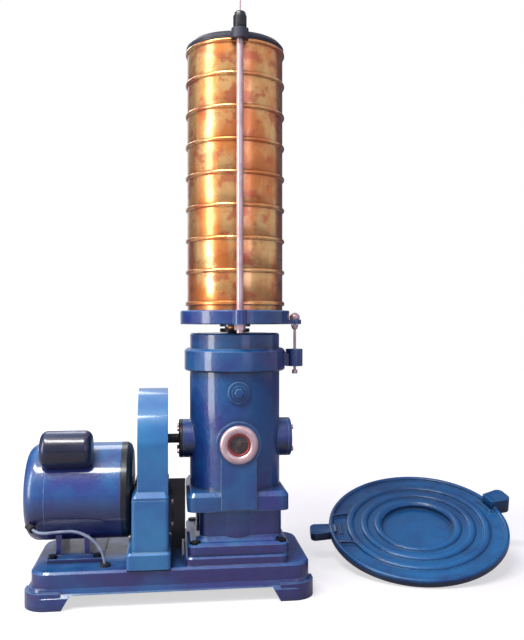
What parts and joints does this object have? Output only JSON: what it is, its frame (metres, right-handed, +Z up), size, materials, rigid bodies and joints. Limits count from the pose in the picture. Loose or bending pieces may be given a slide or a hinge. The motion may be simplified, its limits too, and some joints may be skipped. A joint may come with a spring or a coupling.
{
  "type": "sieve shaker",
  "caption": "Motor-driven sieve shaker: belt drive and gearbox column on a cast bed, circling and tapping a clamped stack of round brass sieves, with a loose tray.",
  "frame": {"origin": "centre of the four foot bolt holes, at floor level under the bed", "axes": "+Z up, +X along the bed from the motor to the sieve column, -Y towards the oil sight"},
  "size_m": [1.1161, 0.4294, 1.205],
  "materials": {
    "black_paint": "gloss enamel",
    "blue_paint": "gloss enamel",
    "disc_blue": "gloss enamel",
    "guard_blue": "satin enamel",
    "brass": "satin",
    "mesh_bronze": "woven wire",
    "clear_steel": "turned",
    "dark_steel": "blackened",
    "gear_steel": "cut",
    "lid_grey": "satin",
    "cast_iron": "as cast",
    "lamination": "stacked sheet",
    "aluminium": "cast",
    "rubber_black": "matt",
    "cable_grey": "matt",
    "plastic_dark": "gloss",
    "sight_glass": "clear",
    "bronze_bush": "turned"
  },
  "bodies": {
    "frame": {"bed": "blue_paint", "column": "blue_paint", "column_head": "blue_paint", "head_screws": "dark_steel", "column_bolts": "dark_steel", "left_bearing_cover": "black_paint", "right_bearing_cover": "blue_paint", "small_screws": "clear_steel", "sight_bezel": "clear_steel", "sight_glass": "sight_glass", "filler_plug": "blue_paint", "guard_upper": "guard_blue", "guard_lower": "guard_blue", "guard_bracket": "black_paint", "v_belt": "rubber_black", "motor_frame": "blue_paint", "stator": "lamination", "drive_end_shield": "black_paint", "fan_cover": "blue_paint", "capacitor_cover": "plastic_dark", "capacitor": "aluminium", "motor_bolts": "dark_steel", "motor_lead": "cable_grey", "lead_glands": "rubber_black", "spindle_bearings": "gear_steel", "input_bearings": "gear_steel", "motor_bearings": "gear_steel", "camshaft_bushes": "bronze_bush", "spindle_seal": "rubber_black", "spare_tray": "disc_blue"},
    "spindle_unit": {"spindle": "dark_steel", "bevel_gear": "gear_steel"},
    "input_unit": {"input_shaft": "dark_steel", "driven_pulley": "cast_iron", "bevel_pinion": "gear_steel"},
    "rotor_unit": {"rotor": "lamination", "cooling_fan": "aluminium", "motor_pulley": "cast_iron"},
    "cam_unit": {"camshaft": "gear_steel", "cam_gear": "gear_steel"},
    "lifter_unit": {"lifter": "gear_steel"},
    "hub_bush": {"eccentric_bush": "bronze_bush"},
    "tray_unit": {"tray": "blue_paint", "tray_bearing": "gear_steel", "receiver_pan": "brass", "sieve_1": "brass", "sieve_2": "brass", "sieve_3": "brass", "sieve_4": "brass", "sieve_5": "brass", "sieve_6": "brass", "sieve_7": "brass", "sieve_8": "brass", "sieve_meshes": "mesh_bronze", "lid": "lid_grey", "clamp_rods": "clear_steel"},
    "clamp_unit": {"clamp_plate": "lid_grey"},
    "front_nut_unit": {"front_hand_nut": "black_paint"},
    "rear_nut_unit": {"rear_hand_nut": "black_paint"},
    "guide_unit": {"guide_rod": "clear_steel"}
  },
  "joints": [
    {"name": "spindle_spin", "type": "hinge", "parent": "frame", "child": "spindle_unit", "pos_m": [0.135, 0, 0.45], "axis": [0, 0, 1], "continuous": true},
    {"name": "input_spin", "type": "hinge", "parent": "frame", "child": "input_unit", "pos_m": [0.135, 0, 0.312], "axis": [1, 0, 0], "continuous": true},
    {"name": "motor_spin", "type": "hinge", "parent": "frame", "child": "rotor_unit", "pos_m": [-0.175, 0.03, 0.2], "axis": [1, 0, 0], "continuous": true},
    {"name": "camshaft_spin", "type": "hinge", "parent": "frame", "child": "cam_unit", "pos_m": [0.135, 0, 0.255], "axis": [1, 0, 0], "continuous": true},
    {"name": "tap_lift", "type": "slide", "parent": "spindle_unit", "child": "hub_bush", "axis": [0, 0, 1], "range_m": [0, 0.005]},
    {"name": "lifter_slide", "type": "slide", "parent": "frame", "child": "lifter_unit", "axis": [0, 0, 1], "range_m": [0, 0.005]},
    {"name": "tray_turn", "type": "hinge", "parent": "hub_bush", "child": "tray_unit", "pos_m": [0.135, -0.008, 0.56], "axis": [0, 0, 1], "continuous": true},
    {"name": "clamp_slide", "type": "slide", "parent": "tray_unit", "child": "clamp_unit", "axis": [0, 0, 1], "range_m": [0, 0.02]},
    {"name": "front_nut_spin", "type": "hinge", "parent": "clamp_unit", "child": "front_nut_unit", "pos_m": [0.135, -0.122, 1.164], "axis": [0, 0, 1], "continuous": true},
    {"name": "rear_nut_spin", "type": "hinge", "parent": "clamp_unit", "child": "rear_nut_unit", "pos_m": [0.135, 0.106, 1.164], "axis": [0, 0, 1], "continuous": true},
    {"name": "guide_rod_swing", "type": "hinge", "parent": "tray_unit", "child": "guide_unit", "pos_m": [0.265, -0.008, 0.57], "axis": [0, 1, 0], "range_deg": [-1, 1]}
  ],
  "couplings": [
    {"joint": "input_spin", "follows": "spindle_spin", "ratio": 2.5},
    {"joint": "motor_spin", "follows": "spindle_spin", "ratio": 6.25},
    {"joint": "camshaft_spin", "follows": "spindle_spin", "ratio": -0.89286},
    {"joint": "tray_turn", "follows": "spindle_spin", "ratio": -1},
    {"joint": "lifter_slide", "follows": "tap_lift", "ratio": 1}
  ]
}
